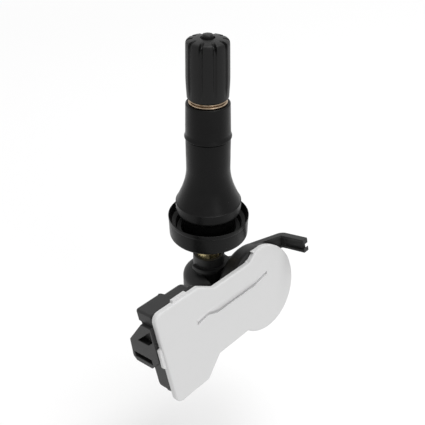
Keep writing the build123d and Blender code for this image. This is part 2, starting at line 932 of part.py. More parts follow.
# Circuit board, cut round the cell
with BuildPart() as circuit_board:
    with BuildSketch(lid_plane(board_face)):
        cavity_outline(wall + board_gap)
        with Locations((cell_x, cell_y)):
            Circle(cell_r + cell_gap + tab_thickness, mode=Mode.SUBTRACT)
    extrude(amount=-board_thickness)
circuit_board.part.label = "circuit_board"
export_step(circuit_board.part, "parts/circuit_board.step")

# Chips on the board: the pressure sensor below it, the control chip and crystal above it
with BuildPart() as sensor_chip:
    with BuildSketch(lid_plane(board_back)):
        with Locations((chip_x, chip_y)):
            Rectangle(chip_length, chip_width)
    extrude(amount=-chip_height)
sensor_chip.part.label = "sensor_chip"
export_step(sensor_chip.part, "parts/sensor_chip.step")

with BuildPart() as port_gasket:
    with BuildSketch(lid_plane(board_back + chip_height)):
        with Locations((chip_x, chip_y)):
            Circle(port_r + port_gasket_width)
            Circle(port_r, mode=Mode.SUBTRACT)
    extrude(amount=-(floor_depth - board_back - chip_height))
port_gasket.part.label = "port_gasket"
export_step(port_gasket.part, "parts/port_gasket.step")

with BuildPart() as port_filter:
    with BuildSketch(lid_plane(housing_depth - filter_recess)):
        with Locations((chip_x, chip_y)):
            Circle(filter_r - filter_clearance)
    extrude(amount=-filter_thickness)
port_filter.part.label = "port_filter"
export_step(port_filter.part, "parts/port_filter.step")

with BuildPart() as control_chip:
    with BuildSketch(lid_plane(board_face)):
        with Locations((control_x, control_y)):
            Rectangle(control_size, control_size)
    extrude(amount=control_height)
control_chip.part.label = "control_chip"
export_step(control_chip.part, "parts/control_chip.step")

with BuildPart() as crystal:
    with BuildSketch(lid_plane(board_face)):
        with Locations((crystal_x, crystal_y)):
            Rectangle(crystal_length, crystal_width)
    extrude(amount=crystal_height)
crystal.part.label = "crystal"
export_step(crystal.part, "parts/crystal.step")

with BuildPart() as chip_capacitors:
    with BuildSketch(lid_plane(board_face)):
        with Locations((capacitor_x, capacitor_y)):
            with GridLocations(capacitor_pitch, capacitor_pitch, capacitor_count, 1):
                Rectangle(capacitor_width, capacitor_length)
    extrude(amount=capacitor_height)
chip_capacitors.part.label = "chip_capacitors"
export_step(chip_capacitors.part, "parts/chip_capacitors.step")

# Wake-up coil under the board: ferrite bobbin and its winding
neck_length = coil_length - 2 * coil_cheek
neck_width = coil_width - 2 * coil_neck
neck_height = coil_height - 2 * coil_neck
with BuildPart() as coil_core:
    with BuildSketch(lid_plane(board_back)):
        with Locations((coil_x, coil_y)):
            with GridLocations(coil_length - coil_cheek, coil_width, 2, 1):
                Rectangle(coil_cheek, coil_width)
    extrude(amount=-coil_height)
    with BuildSketch(lid_plane(board_back + coil_neck)):
        with Locations((coil_x, coil_y)):
            Rectangle(coil_length, neck_width)
    extrude(amount=-neck_height)
coil_core.part.label = "coil_core"
export_step(coil_core.part, "parts/coil_core.step")

with BuildPart() as coil_winding:
    with BuildSketch(lid_plane(board_back + coil_winding_inset)):
        with Locations((coil_x, coil_y)):
            Rectangle(neck_length, coil_width - 2 * coil_winding_inset)
    extrude(amount=-(coil_height - 2 * coil_winding_inset))
    with BuildSketch(lid_plane(board_back + coil_neck)):
        with Locations((coil_x, coil_y)):
            Rectangle(neck_length, neck_width)
    extrude(amount=-neck_height, mode=Mode.SUBTRACT)
coil_winding.part.label = "coil_winding"
export_step(coil_winding.part, "parts/coil_winding.step")

# Antenna: a wire staple standing on the board
with BuildPart() as antenna:
    with BuildLine(shelf_plane(antenna_y)):
        wire = FilletPolyline(
            (antenna_left_x, board_face),
            (antenna_left_x, board_face - antenna_height),
            (antenna_right_x, board_face - antenna_height),
            (antenna_right_x, board_face),
            radius=antenna_bend,
        )
    with BuildSketch(Plane(origin=wire @ 0, z_dir=wire % 0)):
        Circle(antenna_r)
    sweep()
antenna.part.label = "antenna"
export_step(antenna.part, "parts/antenna.step")

# Contact tabs: one from the cell's cap down to the board, one from under the cell up to it
tab_top_y = cell_y + tab_width / 2
tab_board_x = cell_x - cell_r - tab_stand_off
with BuildPart() as cell_minus_tab:
    cap_level = lid_thickness + cell_over - tab_thickness / 2
    board_level = board_face - tab_thickness / 2
    with BuildSketch(shelf_plane(tab_top_y)):
        with BuildLine():
            Polyline(
                (cell_x - tab_reach, cap_level),
                (tab_board_x, cap_level),
                (tab_board_x - tab_stand_off, board_level),
                (tab_board_x - tab_stand_off - tab_overlap, board_level),
            )
        trace(line_width=tab_thickness)
    extrude(amount=-tab_width)
cell_minus_tab.part.label = "cell_minus_tab"
export_step(cell_minus_tab.part, "parts/cell_minus_tab.step")

with BuildPart() as cell_plus_tab:
    can_level = floor_depth - cell_under + tab_thickness / 2
    under_level = board_back + tab_thickness / 2
    with BuildSketch(shelf_plane(tab_top_y)):
        with BuildLine():
            Polyline(
                (cell_x - tab_reach, can_level),
                (tab_board_x, can_level),
                (tab_board_x, under_level),
                (tab_board_x - tab_stand_off - tab_overlap, under_level),
            )
        trace(line_width=tab_thickness)
    extrude(amount=-tab_width)
cell_plus_tab.part.label = "cell_plus_tab"
export_step(cell_plus_tab.part, "parts/cell_plus_tab.step")
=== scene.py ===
# Looks of the tyre pressure sensor: finishes, fine shapes, light and camera.
import json
from math import atan2, cos, hypot, pi, radians, sin, sqrt

import bmesh
import bpy
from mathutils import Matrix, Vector
from mathutils.bvhtree import BVHTree


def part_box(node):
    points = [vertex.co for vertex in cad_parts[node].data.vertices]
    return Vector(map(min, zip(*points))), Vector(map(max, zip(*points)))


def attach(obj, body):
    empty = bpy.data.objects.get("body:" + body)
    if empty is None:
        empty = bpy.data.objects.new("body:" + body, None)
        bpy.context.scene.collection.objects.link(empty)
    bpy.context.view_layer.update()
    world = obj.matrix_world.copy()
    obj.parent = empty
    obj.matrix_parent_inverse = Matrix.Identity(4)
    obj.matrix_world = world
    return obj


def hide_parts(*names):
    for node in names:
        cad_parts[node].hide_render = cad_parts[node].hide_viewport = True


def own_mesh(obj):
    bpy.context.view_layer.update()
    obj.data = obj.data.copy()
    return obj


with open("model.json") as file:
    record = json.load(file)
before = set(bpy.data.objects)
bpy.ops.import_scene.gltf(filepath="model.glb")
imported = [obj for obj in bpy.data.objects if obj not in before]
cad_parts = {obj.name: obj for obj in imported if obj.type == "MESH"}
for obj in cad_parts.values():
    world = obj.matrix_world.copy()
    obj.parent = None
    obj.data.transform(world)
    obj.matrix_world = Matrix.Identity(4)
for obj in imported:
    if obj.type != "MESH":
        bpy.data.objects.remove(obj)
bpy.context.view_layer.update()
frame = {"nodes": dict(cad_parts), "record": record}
nodes = frame["nodes"]

# Sizes of pieces are in millimetres, and MM turns them into metres
MM = 0.001
AXIS = (0.0, 0.0, 1.0)
CENTRE = (0.0, 0.0, 0.0)
THREAD_PITCH = 0.794
THREAD_FOOT = 0.6
THREAD_TIP = 0.14
THREAD_STEPS = 48
THREAD_LEAST = 0.05
SEAM_GAP = 0.0002
MERGE_GAP = 0.0005
FLAT_ANGLE = radians(0.6)


class Wire:
    """A shader socket that works in Python expressions."""

    def __init__(self, sheet, socket):
        self.sheet = sheet
        self.socket = socket

    def maths(self, operation, *values):
        return self.sheet.add("ShaderNodeMath", {"operation": operation}, dict(enumerate(values)))

    def __add__(self, other):
        return self.maths("ADD", self, other)

    def __radd__(self, other):
        return self.maths("ADD", other, self)

    def __sub__(self, other):
        return self.maths("SUBTRACT", self, other)

    def __rsub__(self, other):
        return self.maths("SUBTRACT", other, self)

    def __mul__(self, other):
        return self.maths("MULTIPLY", self, other)

    def __rmul__(self, other):
        return self.maths("MULTIPLY", other, self)

    def sine(self):
        return self.maths("SINE", self)

    def largest(self, other):
        return self.maths("MAXIMUM", self, other)


class Sheet:
    """A node tree that is filled node by node."""

    def __init__(self, tree):
        self.tree = tree
        tree.nodes.clear()

    def add(self, kind, settings=None, sockets=None, out=0):
        """A node of that kind, with its settings made first and then its sockets filled or linked."""
        node = self.tree.nodes.new(kind)
        for key, value in (settings or {}).items():
            setattr(node, key, value)
        for key, value in (sockets or {}).items():
            if isinstance(value, Wire):
                self.tree.links.new(value.socket, node.inputs[key])
            else:
                node.inputs[key].default_value = value
        return Wire(self, node.outputs[out]) if node.outputs else node

    def mix(self, factor, first, second):
        """A colour between two others."""
        return self.add("ShaderNodeMix", {"data_type": "RGBA"}, {0: factor, 6: first, 7: second}, out=2)


class Finish(Sheet):
    """One procedural material on the piece's own coordinates, in metres."""

    def __init__(self, name):
        self.material = bpy.data.materials.new(name)
        self.material.use_nodes = True
        super().__init__(self.material.node_tree)
        self.place = self.add("ShaderNodeTexCoord", out="Object")

    def along(self, axis):
        """The distance along X, Y or Z."""
        return self.add("ShaderNodeSeparateXYZ", {}, {0: self.place}, out=axis)

    def turned_place(self, angles, scale=(1, 1, 1)):
        """The piece's coordinates, turned and stretched."""
        return self.add(
            "ShaderNodeMapping", {}, {"Vector": self.place, "Rotation": angles, "Scale": scale}
        )

    def noise(self, scale, detail=2.0, roughness=0.5, at=None):
        """Smooth noise from 0 to 1, with that many features a metre."""
        sockets = {"Vector": at or self.place, "Scale": scale, "Detail": detail, "Roughness": roughness}
        return self.add("ShaderNodeTexNoise", {}, sockets)

    def cells(self, scale):
        """Distance to the nearest of scattered points, with that many a metre."""
        return self.add("ShaderNodeTexVoronoi", {}, {"Vector": self.place, "Scale": scale})

    def weave(self, scale):
        """Crossing waves along X and Z from 0 to 1, with that many radians a metre."""
        return (self.along("X") * scale).sine() * (self.along("Z") * scale).sine() * 0.5 + 0.5

    def step(self, value, low, high):
        """0 below low, 1 above high, smooth between."""
        sockets = {"Value": value, "From Min": low, "From Max": high}
        return self.add("ShaderNodeMapRange", {"interpolation_type": "SMOOTHSTEP"}, sockets)

    def bump(self, height, distance):
        """A normal from a height, where 1 is that distance in metres."""
        return self.add("ShaderNodeBump", {}, {"Height": height, "Distance": distance})

    def surface(self, **sockets):
        """The finished material, from its principled shader's sockets."""
        named = {key.replace("_", " ").title().replace("Ior", "IOR"): v for key, v in sockets.items()}
        shader = self.add("ShaderNodeBsdfPrincipled", {}, named)
        self.add("ShaderNodeOutputMaterial", {}, {"Surface": shader})
        return self.material


def grey(level):
    """A neutral colour."""
    return (level, level, level, 1.0)


def shade(colour, factor):
    """A colour made darker or lighter."""
    return tuple(c * factor for c in colour[:3]) + (1.0,)


def moulded_plastic(name, colour, roughness, specular, grain_depth, contrast=0.12):
    """Moulded plastic with a spark-eroded grain and slight flow marks."""
    f = Finish(name)
    grain = f.noise(scale=7000, detail=4, roughness=0.6)
    drawn_out = f.turned_place(angles=(0.3, 0.2, 0.5), scale=(1.0, 0.45, 0.8))
    flow = f.noise(scale=260, detail=3, roughness=0.55, at=drawn_out)
    tone = 0.65 * flow + 0.35 * grain
    return f.surface(
        base_color=f.mix(tone, shade(colour, 1 - contrast), shade(colour, 1 + contrast)),
        roughness=roughness + 0.14 * (grain - 0.5) + 0.1 * (flow - 0.5),
        specular_ior_level=specular,
        normal=f.bump(grain, grain_depth),
    )


def rubber(name, colour, roughness, specular, bloom):
    """Vulcanised rubber: a fine skin with a faint, cloudy bloom."""
    f = Finish(name)
    skin = f.noise(scale=5200, detail=5, roughness=0.62)
    cloud = f.step(f.noise(scale=330, detail=4, roughness=0.6), low=0.35, high=0.75)
    return f.surface(
        base_color=f.mix(cloud, colour, shade(colour, 1 + bloom)),
        roughness=roughness + 0.12 * (cloud - 0.5) + 0.1 * (skin - 0.5),
        specular_ior_level=specular,
        normal=f.bump(skin, distance=0.000012),
    )


def turned_brass(name, bright, tarnish, glint_tint, lines):
    """Brass off a lathe: fine tool lines, tarnish in patches, and below the flange's lip a brighter,
    yellower colour, painted to brighten the glint there.
    """
    f = Finish(name)
    height = f.along("Z")
    wander = f.noise(scale=900)
    tool = (height * lines + 2.2 * wander).sine() * 0.5 + 0.5
    patches = f.step(f.noise(scale=750, detail=4, roughness=0.65), low=0.46, high=0.74)
    # Below the flange's lip the colour is the glint tint: a painted glint
    above_lip = f.step(height, low=-0.002, high=0.0)
    return f.surface(
        base_color=f.mix(above_lip, glint_tint, f.mix(patches, bright, tarnish)),
        metallic=1.0,
        roughness=0.24 + 0.14 * tool + 0.16 * patches,
        normal=f.bump(tool, distance=0.000006),
    )


def drawn_metal(name, colour, roughness, stretch):
    """Rolled or drawn metal with hair lines along the stretched direction."""
    f = Finish(name)
    drawn_out = f.turned_place(angles=(0, 0, 0), scale=stretch)
    hair = f.noise(scale=2600, detail=3, roughness=0.6, at=drawn_out)
    stain = f.noise(scale=500, detail=3)
    return f.surface(
        base_color=f.mix(0.6 * hair + 0.4 * stain, shade(colour, 0.86), shade(colour, 1.06)),
        metallic=1.0,
        roughness=roughness + 0.16 * (hair - 0.5) + 0.1 * (stain - 0.5),
        normal=f.bump(hair, distance=0.000004),
    )


def circuit_laminate(name, mask, copper):
    """Green solder mask over copper runs, with the glass weave just showing."""
    f = Finish(name)
    runs = f.add(
        "ShaderNodeTexBrick",
        {"offset": 0.37},
        {"Vector": f.turned_place(angles=(radians(75.5), 0, 0)), "Scale": 260.0, "Mortar Size": 0.03},
        out="Fac",
    )
    weave = f.weave(9000)
    return f.surface(
        base_color=f.mix(0.55 * runs + 0.12 * weave, mask, copper),
        roughness=0.34 + 0.1 * weave,
        normal=f.bump(0.7 * runs + 0.3 * weave, distance=0.00002),
    )


def fired_ceramic(name, colour, speck):
    """Fired ceramic or ferrite with small pits and pale specks."""
    f = Finish(name)
    pits = f.step(f.cells(scale=6500), low=0.1, high=0.35)
    dust = f.step(f.noise(scale=9000, detail=3), low=0.55, high=0.7)
    return f.surface(
        base_color=f.mix(dust * 0.6, colour, speck),
        roughness=0.55 + 0.2 * (1 - pits),
        normal=f.bump(pits, distance=0.00001),
    )


def wound_wire(name, colour, pitch):
    """Enamelled wire laid side by side along X."""
    f = Finish(name)
    turns = (f.along("X") * (2 * pi / pitch)).sine() * 0.5 + 0.5
    tint = f.noise(scale=1500)
    return f.surface(
        # The colour is darker where the turns meet: painted shade in the grooves between the wires
        base_color=f.mix(0.7 * turns + 0.3 * tint, shade(colour, 0.45), colour),
        metallic=1.0,
        roughness=0.25 + 0.15 * (1 - turns),
        normal=f.bump(turns, distance=pitch / 2),
    )


def vent_cloth(name, colour):
    """A thin woven membrane."""
    f = Finish(name)
    weave = f.weave(21000)
    fuzz = f.noise(scale=8000, detail=3)
    # The colour is darker where the weave dips, painted shade between the threads, and varies at random
    # with the fuzz
    return f.surface(
        base_color=f.mix(0.6 * weave + 0.4 * fuzz, shade(colour, 0.7), colour),
        roughness=0.85 + 0.1 * (fuzz - 0.5),
        normal=f.bump(weave, distance=0.00003),
    )


finishes = {
    "cap_plastic": moulded_plastic(
        "cap_plastic", grey(0.006), roughness=0.42, specular=0.2, grain_depth=0.00001
    ),
    "valve_rubber": rubber("valve_rubber", grey(0.0035), roughness=0.33, specular=0.12, bloom=0.4),
    "seal_rubber": rubber("seal_rubber", grey(0.02), roughness=0.7, specular=0.25, bloom=0.35),
    "stem_brass": turned_brass(
        "stem_brass",
        bright=(0.42, 0.33, 0.24, 1),
        tarnish=(0.2, 0.13, 0.07, 1),
        # Painted glint: brighter, yellower brass below the flange's lip
        glint_tint=(0.78, 0.66, 0.36, 1),
        lines=52000,
    ),
    "core_brass": turned_brass(
        "core_brass",
        bright=(0.66, 0.54, 0.34, 1),
        tarnish=(0.42, 0.3, 0.16, 1),
        glint_tint=(0.66, 0.54, 0.34, 1),
        lines=64000,
    ),
    "spring_steel": drawn_metal("spring_steel", grey(0.55), roughness=0.3, stretch=(1, 1, 0.3)),
    "screw_steel": drawn_metal(
        "screw_steel", (0.52, 0.52, 0.55, 1), roughness=0.36, stretch=(1, 1, 0.2)
    ),
    "housing_plastic": moulded_plastic(
        "housing_plastic", grey(0.014), roughness=0.45, specular=0.26, grain_depth=0.000016
    ),
    "lid_plastic": moulded_plastic(
        "lid_plastic", grey(0.66), roughness=0.55, specular=0.3, grain_depth=0.000014, contrast=0.012
    ),
    "board_laminate": circuit_laminate(
        "board_laminate", mask=(0.02, 0.16, 0.06, 1), copper=(0.1, 0.3, 0.1, 1)
    ),
    "cell_steel": drawn_metal("cell_steel", grey(0.6), roughness=0.28, stretch=(0.25, 1, 1)),
    "tab_steel": drawn_metal(
        "tab_steel", (0.58, 0.57, 0.54, 1), roughness=0.32, stretch=(0.15, 1, 1)
    ),
    "chip_resin": moulded_plastic(
        "chip_resin", grey(0.02), roughness=0.55, specular=0.4, grain_depth=0.000008
    ),
    "crystal_can": drawn_metal(
        "crystal_can", (0.62, 0.6, 0.55, 1), roughness=0.24, stretch=(0.3, 1, 1)
    ),
    "capacitor_ceramic": fired_ceramic(
        "capacitor_ceramic", (0.45, 0.36, 0.25, 1), speck=(0.6, 0.52, 0.4, 1)
    ),
    "ferrite": fired_ceramic("ferrite", grey(0.06), speck=grey(0.14)),
    "copper_wire": wound_wire("copper_wire", (0.72, 0.36, 0.17, 1), pitch=0.00012),
    "filter_cloth": vent_cloth("filter_cloth", grey(0.75)),
}
slot_of = {part["node"]: part["material_slot"] for part in frame["record"]["subparts"]}
for name, node in nodes.items():
    node.data.materials.clear()
    node.data.materials.append(finishes[slot_of[name]])


def rounded(points, segments):
    """A path of (radius, height) from points of (radius, height, length cut back to round the corner)."""
    path = []
    last = len(points) - 1
    for i, (r, z, cut) in enumerate(points):
        here = Vector((r, z))
        if cut == 0 or i in (0, last):
            path.append(here)
            continue
        before = here + (Vector(points[i - 1][:2]) - here).normalized() * cut
        after = here + (Vector(points[i + 1][:2]) - here).normalized() * cut
        for k in range(segments + 1):
            t = k / segments
            path.append(before * (1 - t) ** 2 + here * 2 * t * (1 - t) + after * t ** 2)
    return path


def spun(path, steps, bm=None):
    """Adds a shape turned round the valve's axis from a path of (radius, height) in millimetres."""
    bm = bm or bmesh.new()
    verts = [bm.verts.new((r * MM, 0, z * MM)) for r, z in path]
    edges = [bm.edges.new(pair) for pair in zip(verts, verts[1:])]
    bmesh.ops.spin(
        bm, geom=verts + edges, cent=CENTRE, axis=AXIS, angle=2 * pi, steps=steps, use_merge=True
    )
    bmesh.ops.remove_doubles(bm, verts=bm.verts, dist=SEAM_GAP * MM)
    return bm


def thread(root, crest, low, high):
    """A screw thread's ridge wound up the axis, sunk to its root at both ends."""
    bm = bmesh.new()
    section = [
        (root, -THREAD_FOOT / 2),
        (crest, -THREAD_TIP / 2),
        (crest, THREAD_TIP / 2),
        (root, THREAD_FOOT / 2),
    ]
    face = bm.faces.new([bm.verts.new((r * MM, 0, (low + z) * MM)) for r, z in section])
    turns = (high - low) / THREAD_PITCH
    count = round(turns * THREAD_STEPS)
    bmesh.ops.spin(
        bm,
        geom=[face],
        cent=CENTRE,
        axis=AXIS,
        dvec=(0, 0, (high - low) / count * MM),
        angle=2 * pi * turns,
        steps=count,
    )
    for v in bm.verts:
        r = hypot(v.co.x, v.co.y) / MM
        z = v.co.z / MM
        rise = min(1, max(THREAD_LEAST, min(z - low, high - z) / THREAD_PITCH))
        scale = (root + (r - root) * rise) / r
        v.co.x *= scale
        v.co.y *= scale
    return bm


def joined(node):
    """A CAD node's own mesh, joined up."""
    bm = bmesh.new()
    bm.from_mesh(nodes[node].data)
    bmesh.ops.transform(bm, matrix=nodes[node].matrix_world, verts=bm.verts)
    bmesh.ops.remove_doubles(bm, verts=bm.verts, dist=MERGE_GAP * MM)
    return bm


def copied(node):
    """A CAD node's own mesh, joined up and with its flat faces made whole."""
    bm = joined(node)
    bmesh.ops.dissolve_limit(
        bm, angle_limit=FLAT_ANGLE, use_dissolve_boundaries=False, verts=bm.verts, edges=bm.edges
    )
    return bm


def soften_edges(bm, edges, width, angle, segments=2):
    """Gives those edges that are sharp a small round, with no corner pulled off its surface."""
    surface = BVHTree.FromBMesh(bm)
    sharp = [e for e in edges if len(e.link_faces) == 2 and e.calc_face_angle(0) > radians(angle)]
    bmesh.ops.bevel(
        bm,
        geom=sharp,
        offset=width * MM,
        offset_type="OFFSET",
        affect="EDGES",
        segments=segments,
        profile=0.5,
        material=-1,
        clamp_overlap=False,
    )
    for v in bm.verts:
        nearest, _, _, gap = surface.find_nearest(v.co)
        if gap > width * MM:
            v.co = nearest


def dress(name, bm, node, body, smooth):
    """Makes a mesh the piece that stands for a CAD node, in the node's own finish."""
    bmesh.ops.recalc_face_normals(bm, faces=bm.faces)
    mesh = bpy.data.meshes.new(name)
    bm.to_mesh(mesh)
    bm.free()
    mesh.shade_smooth()
    mesh.set_sharp_from_angle(angle=radians(smooth))
    mesh.materials.append(finishes[slot_of[node]])
    piece = bpy.data.objects.new(name, mesh)
    bpy.context.scene.collection.objects.link(piece)
    even = piece.modifiers.new("even_faces", "WEIGHTED_NORMAL")
    even.keep_sharp = True
    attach(piece, body)
    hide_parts(node)
    return piece


def ease(value, low, high):
    """0 below low, 1 above high and smooth between."""
    t = min(1, max(0, (value - low) / (high - low)))
    return t * t * (3 - 2 * t)


def sizes(node):
    """A CAD node's lowest and highest corner in millimetres."""
    return [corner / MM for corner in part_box(node)]


# Cap: a turned shell with narrow flutes that notch its crown and fade into the skirt
cap_low, cap_high = sizes("valve_cap")
cap_r = cap_high.x
cap_bore = 3.95
cap_roof = 1.2
cap_button = 0.55
cap_button_r = 1.25
button_flat_r = 0.6
button_edge = 0.12
button_lift = 0.25
button_groove = 0.35
cap_top = cap_high.z - cap_button
button_top = cap_high.z + button_lift
cap_ceiling = cap_top - cap_roof
skirt_inset = 0.21
skirt_rise = 3.8
crown_r = 3.0
crown_dip = 0.1
crown_drop = 0.45
crown_round = 0.8
crown_draft = 0.18
cap_facet = 0.5
cap_steps = 360
cap_thread_crest = 3.56
cap_thread_runout = 1.6
thread_start = cap_low.z + 1.0
thread_sink = 0.03
flute_count = 10
flute_start = radians(26.5)
flute_half = 0.4
flute_depth = 0.27
flute_fade = (cap_low.z + 0.6, cap_low.z + 3.4)
notch_depth = 0.5
notch_rise = (cap_top - 2.4, cap_top - 1.0)
notch_end = (2.9, 4.1)
notch_tilt = radians(65)
tilt_rise = (cap_top - 1.4, cap_top - 0.4)
bore_wall_r = cap_bore + 0.3
bore_wall_top = cap_top - 0.7


def cut_flutes(bm):
    """Presses the flutes and their crown notches into the cap's outside."""
    pitch = 2 * pi / flute_count
    for v in bm.verts:
        r = hypot(v.co.x, v.co.y) / MM
        z = v.co.z / MM
        angle = (atan2(v.co.y, v.co.x) - flute_start + pitch / 2) % pitch - pitch / 2
        across = abs(angle) * r / flute_half
        inside = r < bore_wall_r and z < bore_wall_top
        if inside or r < notch_end[0] or across >= 1:
            continue
        depth = flute_depth * ease(z, *flute_fade) + notch_depth * ease(z, *notch_rise)
        depth *= ease(r, *notch_end) * sqrt(1 - across ** 2)
        tilt = notch_tilt * ease(z, *tilt_rise)
        new_r = r - depth * cos(tilt)
        v.co = (v.co.x * new_r / r, v.co.y * new_r / r, (z - depth * sin(tilt)) * MM)


def make_cap():
    """The black cap, with a button on its crown and a thread in its bore."""
    path = rounded([
        (cap_bore, cap_low.z, 0),
        (cap_r - skirt_inset, cap_low.z, 0.14),
        (cap_r, cap_low.z + skirt_rise, 1.6),
        (cap_r - crown_draft, cap_top - crown_drop, crown_round),
        (crown_r, cap_top - crown_dip, 0.8),
        (cap_button_r + button_groove, cap_top, 0.08),
        (cap_button_r + 0.9 * button_groove, cap_top - button_groove, 0.05),
        (cap_button_r, cap_top - button_groove, 0.05),
        (cap_button_r, button_top - button_edge, 0.4),
        (button_flat_r, button_top, 0.3),
        (0, button_top, 0),
        (0, cap_ceiling, 0),
        (cap_bore, cap_ceiling, 0.2),
        (cap_bore, cap_low.z, 0),
    ], segments=10)
    fine = []
    for a, b in zip(path, path[1:]):
        parts = max(1, round((b - a).length / cap_facet)) if a.x > cap_bore else 1
        fine += [a.lerp(b, k / parts) for k in range(parts)]
    low = thread_start + THREAD_PITCH / 2
    winding = thread(cap_bore + thread_sink, cap_thread_crest, low, cap_ceiling - cap_thread_runout)
    bm = spun(fine + [path[-1]], cap_steps, winding)
    cut_flutes(bm)
    return dress("cap_shell", bm, "valve_cap", "cap", smooth=50)


make_cap()

# Stem: the tail as designed, and above it two turned rings and a rolled thread
stem_high = sizes("valve_stem")[1]
body_low, body_high = sizes("valve_body")
stem_core = 3.4
stem_bore = 1.9
stem_cut = body_high.z - 1.8
stem_steps = 128
ring_r = 4.4
ring_root = 3.9
ring_half = 0.25
ring_levels = (body_high.z + 0.2, body_high.z + 0.88)
ring_arcs = 8
ring_step = 0.1
ring_foot = body_high.z - 0.8
ring_top = ring_levels[1] + ring_half
thread_root = 3.42
thread_crest = 3.84
thread_runout = 0.3
tip_chamfer = (0.4, 0.5)
core_bore = 2.4
core_mouth = 2.6
mouth_depth = 0.25
core_step = stem_high.z - 10.55


def ring(level):
    """The half round section of one turned ring, going up."""
    angles = [pi * (k / ring_arcs - 0.5) for k in range(ring_arcs + 1)]
    return [(ring_root + (ring_r - ring_root) * cos(a), level + ring_half * sin(a), 0) for a in angles]


def stem_tail():
    """The stem's own mesh below the cut, closed there."""
    tail = copied("valve_stem")
    cut = bmesh.ops.bisect_plane(
        tail,
        geom=tail.verts[:] + tail.edges[:] + tail.faces[:],
        plane_co=(0, 0, stem_cut * MM),
        plane_no=AXIS,
        clear_outer=True,
    )
    rim = [e for e in cut["geom_cut"] if isinstance(e, bmesh.types.BMEdge)]
    bmesh.ops.triangle_fill(tail, edges=rim, use_beauty=True)
    return tail


def make_stem():
    """The brass stem: thread, turned upper part and tail in one piece."""
    bm = thread(thread_root - thread_sink, thread_crest, thread_start, stem_high.z - thread_runout)
    path = rounded([
        (stem_bore, stem_cut, 0),
        (stem_core, stem_cut, 0),
        (stem_core, ring_foot, 0),
        (ring_root, ring_foot, 0),
        *ring(ring_levels[0]),
        *ring(ring_levels[1]),
        (ring_root - ring_step, ring_top, 0.03),
        (thread_root, ring_top, 0.1),
        (thread_root, stem_high.z - tip_chamfer[1], 0.1),
        (thread_root - tip_chamfer[0], stem_high.z, 0.1),
        (core_mouth, stem_high.z, 0.08),
        (core_bore, stem_high.z - mouth_depth, 0.08),
        (core_bore, core_step, 0),
        (stem_bore, core_step, 0),
        (stem_bore, stem_cut, 0),
    ], segments=4)
    spun(path, stem_steps, bm)
    tail = stem_tail()
    mesh = bpy.data.meshes.new("stem_tail")
    tail.to_mesh(mesh)
    tail.free()
    bm.from_mesh(mesh)
    bpy.data.meshes.remove(mesh)
    return dress("turned_stem", bm, "valve_stem", "sensor", smooth=35)


make_stem()

# Rubber body: cupped flange with a sharp lip, bulb that snaps through the rim, flared shank with a bead
body_steps = 160
flange_r = body_high.x
flange_low = body_low.z
flange_draft = 0.12
under_groove = (7.4, 8.3)
under_groove_depth = 0.2
line_levels = (-1.4, -1.3, -1.15, -1.0)
line_foot = 0.05
line_depth = 0.06
lip_proud = 0.04
lip_inset = 0.14
lip_slope_r = 9.25
ledge_z = -1.9
ledge_fall = 0.45
cup_r = 8.25
cup_draft = 0.2
cup_floor = -3.9
neck_r = 6.7
neck_top = 0.6
bulb_r = 8.05
bulb_draft = 0.05
bulb_low = 1.65
bulb_high = 4.2
crease_depth = 0.15
crease_rise = 0.1
shank_r = 5.24
flare_steps = 24
flare_ends = (
    Vector((bulb_r - 0.28, bulb_high + 0.35)),
    Vector((7.2, 5.9)),
    Vector((shank_r, 9.5)),
    Vector((shank_r, 13.4)),
)
bead_r = 5.52
bead_z = 21.7
bead_edge = 0.06
bead_tail = 0.8
undercut = 0.2
undercut_levels = (bead_z - 0.55, bead_z - 0.5, bead_z - 0.32, bead_z - 0.28)
body_top_r = 5.04
mouth_r = 4.5
mouth_taper = 0.08
mouth_floor = body_high.z - 0.25
socket_r = 4.14
socket_floor = body_high.z - 0.78
moulding_gap = 0.02
anchor_r = 4.9
anchor_levels = (-4.62, -2.58, -1.08)
tail_r = 3.2


def flare():
    """The curve from the bulb up to the shank."""
    curve = []
    for k in range(flare_steps + 1):
        t = k / flare_steps
        a, b, c = (flare_ends[i].lerp(flare_ends[i + 1], t) for i in range(3))
        point = a.lerp(b, t).lerp(b.lerp(c, t), t)
        curve.append((point.x, point.y, 0))
    return curve


